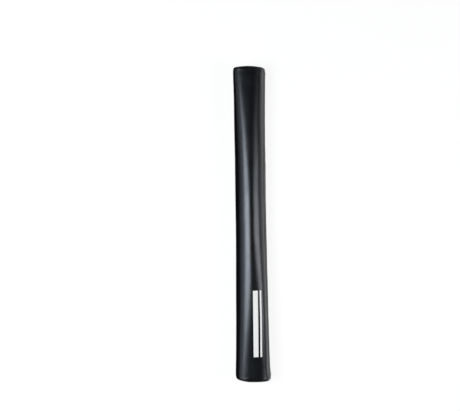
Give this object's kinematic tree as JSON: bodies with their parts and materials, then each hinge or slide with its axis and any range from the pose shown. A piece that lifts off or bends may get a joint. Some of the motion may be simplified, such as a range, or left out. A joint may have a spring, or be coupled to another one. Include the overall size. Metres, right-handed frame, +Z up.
{
  "type": "roof rack pad",
  "caption": "Tubular foam pad in a black vinyl cover that wraps round a roof bar and shuts with a hook-and-loop flap.",
  "frame": {"origin": "middle of the pad's footprint, at the height of the flat spot that it lies on", "axes": "+Y along the pad towards the end that is uppermost in the picture, +X to the side with the closure, +Z up"},
  "size_m": [0.0788, 0.711, 0.0647],
  "materials": {
    "cover_vinyl": "semi-gloss PVC-coated cloth with a very fine grain",
    "panel_vinyl": "semi-gloss PVC-coated cloth with a very fine grain",
    "foam": "closed-cell foam, matt",
    "lining_cloth": "grippy coated cloth, matt",
    "tape_cloth": "woven hook-and-loop tape, matt"
  },
  "bodies": {
    "root": {"foam_core": "foam", "outer_cover": "cover_vinyl", "bore_lining": "lining_cloth", "upper_end_panel": "panel_vinyl", "lower_end_panel": "panel_vinyl", "closing_flap": "cover_vinyl", "hook_tape": "tape_cloth", "loop_tape": "tape_cloth"}
  },
  "joints": []
}
